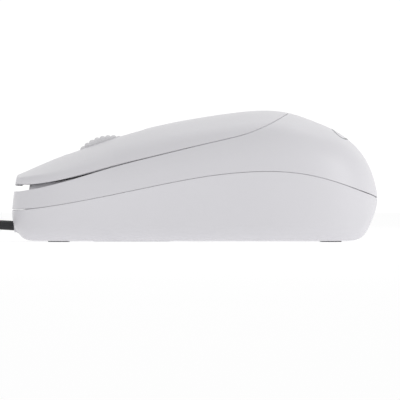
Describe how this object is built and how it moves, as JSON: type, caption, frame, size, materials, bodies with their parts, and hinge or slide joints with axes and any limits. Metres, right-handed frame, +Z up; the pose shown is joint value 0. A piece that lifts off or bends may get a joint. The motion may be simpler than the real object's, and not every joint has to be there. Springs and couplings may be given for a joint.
{
  "type": "computer mouse",
  "caption": "Corded office mouse: rounded light shell with left and right keys, ribbed scroll wheel, optical sensor, and a coiled cable ending in a USB plug.",
  "frame": {"origin": "centre of the mouse body's footprint, on the surface its feet stand on, leaving out the cable", "axes": "+X towards the palm end, -X towards the nose where the cable leaves, +Z up"},
  "size_m": [0.1978, 0.0676, 0.0377],
  "materials": {
    "shell": "fine satin",
    "wheel_white": "satin",
    "wheel_rubber": "matt, ribbed",
    "glide": "polished by use",
    "steel": "nickel plated",
    "label": "printed film, blank",
    "board": "green solder mask",
    "black_plastic": "moulded",
    "button_white": "moulded",
    "tinned": "tinned",
    "chip": "moulded epoxy",
    "clear": "clear moulding",
    "lamp": "tinted clear moulding",
    "can": "bare can",
    "connector": "moulded",
    "wire": "insulated",
    "gold": "gold plated",
    "cable": "smooth matt sheath",
    "tie": "woven strap"
  },
  "bodies": {
    "body": {"bottom_case": "shell", "upper_case": "shell", "top_cover": "shell", "front_foot": "glide", "rear_foot": "glide", "case_screw": "steel", "rating_label": "label", "circuit_board": "board", "left_switch": "black_plastic", "right_switch": "black_plastic", "switch_pins": "tinned", "wheel_click_switch": "black_plastic", "wheel_light_source": "clear", "wheel_light_reader": "black_plastic", "wheel_bracket": "black_plastic", "sensor_lens": "clear", "sensor_chip": "chip", "sensor_legs": "tinned", "sensor_led": "lamp", "led_holder": "black_plastic", "controller_chip": "chip", "controller_legs": "tinned", "capacitors": "can", "resistors": "chip", "crystal": "tinned", "cable_socket": "connector", "cable_connector": "connector", "cable_wires": "wire", "strain_relief": "cable", "cable_inner": "cable", "cable_lead": "cable", "cable_coil": "cable", "cable_tail": "cable", "cable_tie": "tie", "plug_body": "cable", "plug_shell": "steel", "plug_tongue": "black_plastic", "plug_contacts": "gold"},
    "left_key": {"left_button": "shell"},
    "right_key": {"right_button": "shell"},
    "left_switch_plunger": {"left_plunger": "button_white"},
    "right_switch_plunger": {"right_plunger": "button_white"},
    "wheel_fork": {"wheel_yoke": "black_plastic"},
    "wheel": {"wheel_hub": "wheel_white", "wheel_tyre": "wheel_rubber"},
    "wheel_click_plunger": {"wheel_click_button": "button_white"}
  },
  "joints": [
    {"name": "left_click", "type": "hinge", "parent": "body", "child": "left_key", "pos_m": [-0.008, 0, 0.03], "axis": [0, -1, 0], "range_deg": [0, 0.8], "stiffness_Nm_per_rad": 1, "springref_deg": -0.23},
    {"name": "right_click", "type": "hinge", "parent": "body", "child": "right_key", "pos_m": [-0.008, 0, 0.03], "axis": [0, -1, 0], "range_deg": [0, 0.8], "stiffness_Nm_per_rad": 1, "springref_deg": -0.23},
    {"name": "left_plunger_travel", "type": "slide", "parent": "body", "child": "left_switch_plunger", "axis": [0, 0, -1], "range_m": [0, 0.0004]},
    {"name": "right_plunger_travel", "type": "slide", "parent": "body", "child": "right_switch_plunger", "axis": [0, 0, -1], "range_m": [0, 0.0004]},
    {"name": "wheel_click", "type": "hinge", "parent": "body", "child": "wheel_fork", "pos_m": [-0.0085, 0, 0.0135], "axis": [0, -1, 0], "range_deg": [0, 1.2], "stiffness_Nm_per_rad": 0.5, "springref_deg": -0.57},
    {"name": "wheel_click_travel", "type": "slide", "parent": "body", "child": "wheel_click_plunger", "axis": [0, 0, -1], "range_m": [0, 0.0003]},
    {"name": "wheel_spin", "type": "hinge", "parent": "wheel_fork", "child": "wheel", "pos_m": [-0.0241, 0, 0.0187], "axis": [0, 1, 0], "continuous": true}
  ],
  "couplings": [
    {"joint": "left_plunger_travel", "follows": "left_click", "m_per_rad": 0.0255},
    {"joint": "right_plunger_travel", "follows": "right_click", "m_per_rad": 0.0255},
    {"joint": "wheel_click_travel", "follows": "wheel_click", "m_per_rad": 0.0115}
  ]
}
